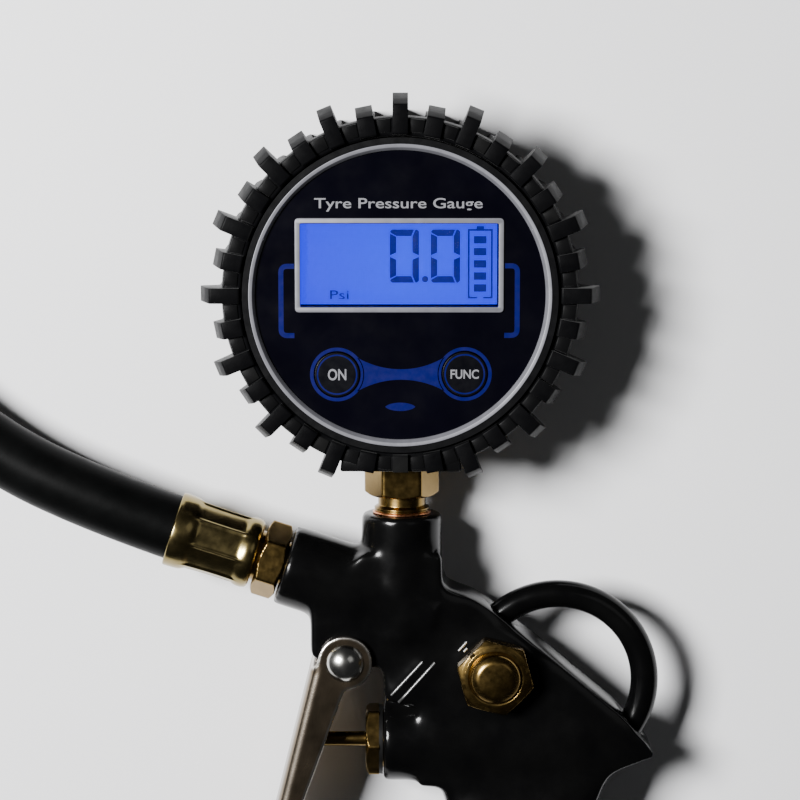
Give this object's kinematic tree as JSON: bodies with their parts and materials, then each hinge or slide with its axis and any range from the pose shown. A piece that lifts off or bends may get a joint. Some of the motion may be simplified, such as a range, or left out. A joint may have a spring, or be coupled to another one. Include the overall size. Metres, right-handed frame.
{
  "type": "tyre pressure gauge",
  "caption": "Digital tyre pressure gauge in a treaded rubber boot on a squeeze-lever inflator gun with a short hose and clip-on chuck.",
  "frame": {"origin": "centre of the tool's outline, without its hose, on the surface that it lies on with its face up", "axes": "+Z the way the gauge's face looks, +Y from the air inlet to the gauge, +X towards the hang loop"},
  "size_m": [0.1908, 0.3351, 0.031],
  "materials": {
    "boot_rubber": "moulded black rubber, satin",
    "case_plastic": "fine-grained black moulding",
    "panel_black": "smooth black panel with printed marks",
    "trim_silver": "satin silver",
    "lens_clear": "clear window",
    "display_glass": "lit liquid crystal display, blue",
    "light_panel": "edge-lit light guide",
    "key_black": "smooth black key tops",
    "print_blue": "blue print",
    "print_white": "white print",
    "black_enamel": "glossy black enamel on a casting",
    "brass": "machined brass, slightly tarnished",
    "gold_plate": "polished, gold-plated and crimped",
    "copper": "copper washer",
    "nickel_plate": "bright nickel plate",
    "steel": "plain steel",
    "board_green": "green circuit board",
    "battery_sleeve": "plain dark battery sleeve",
    "seal_rubber": "nitrile rubber",
    "hose_rubber": "smooth black rubber hose"
  },
  "bodies": {
    "gun": {"gauge_boot": "boot_rubber", "gauge_case": "case_plastic", "battery_cover": "case_plastic", "cover_screw": "steel", "battery_1": "battery_sleeve", "battery_2": "battery_sleeve", "battery_springs": "steel", "battery_contacts": "steel", "circuit_board": "board_green", "board_screws": "steel", "key_switches": "case_plastic", "backlight_panel": "light_panel", "lcd_glass": "display_glass", "lcd_lens": "lens_clear", "lcd_frame": "trim_silver", "face_panel": "panel_black", "bezel_ring": "trim_silver", "front_gasket": "seal_rubber", "pressure_sensor": "steel", "sensor_seal": "seal_rubber", "gauge_port": "brass", "port_nut": "brass", "port_washer": "copper", "hang_loop": "black_enamel", "gun_body": "black_enamel", "side_plug": "brass", "side_plug_washer": "copper", "lever_pivot_pin": "nickel_plate", "valve_bushing": "brass", "bushing_washer": "seal_rubber", "pin_oring": "seal_rubber", "valve_seat": "brass", "valve_spring": "steel", "inlet_fitting": "brass", "inlet_filter": "brass", "hose_fitting": "brass", "hose_ferrule": "gold_plate", "hose": "hose_rubber", "chuck_ferrule": "gold_plate", "chuck_stem": "brass", "chuck_body": "brass", "chuck_clip_pin": "steel", "chuck_clip_spring": "steel", "chuck_seal": "seal_rubber", "chuck_depressor": "brass"},
    "lever": {"lever": "nickel_plate"},
    "valve_stem": {"valve_pin": "brass", "valve_poppet": "brass", "poppet_seal": "seal_rubber"},
    "on_key": {"button_on": "key_black"},
    "func_key": {"button_func": "key_black"},
    "chuck_lever": {"chuck_clip": "nickel_plate"}
  },
  "joints": [
    {"name": "lever_pivot", "type": "hinge", "parent": "gun", "child": "lever", "pos_m": [-0.0149, -0.00258, 0.014], "axis": [0, 0, 1], "range_deg": [0, 14], "stiffness_Nm_per_rad": 0.35, "springref_deg": -17.19},
    {"name": "valve_pin_slide", "type": "slide", "parent": "gun", "child": "valve_stem", "axis": [1, 0, 0], "range_m": [0, 0.0043], "deforming": ["valve_spring"]},
    {"name": "button_on_press", "type": "slide", "parent": "gun", "child": "on_key", "axis": [0, 0, -1], "range_m": [0, 0.0005], "stiffness_N_per_m": 200, "springref_m": -0.001},
    {"name": "button_func_press", "type": "slide", "parent": "gun", "child": "func_key", "axis": [0, 0, -1], "range_m": [0, 0.0005], "stiffness_N_per_m": 200, "springref_m": -0.001},
    {"name": "chuck_lever_pivot", "type": "hinge", "parent": "gun", "child": "chuck_lever", "pos_m": [0.00518, 0.2065, 0.0172], "axis": [-0.0366, -0.9993, 0], "range_deg": [0, 12], "stiffness_Nm_per_rad": 0.05, "springref_deg": -11.46, "deforming": ["chuck_clip_spring"]}
  ],
  "couplings": [
    {"joint": "valve_pin_slide", "follows": "lever_pivot", "m_per_rad": 0.0175}
  ]
}
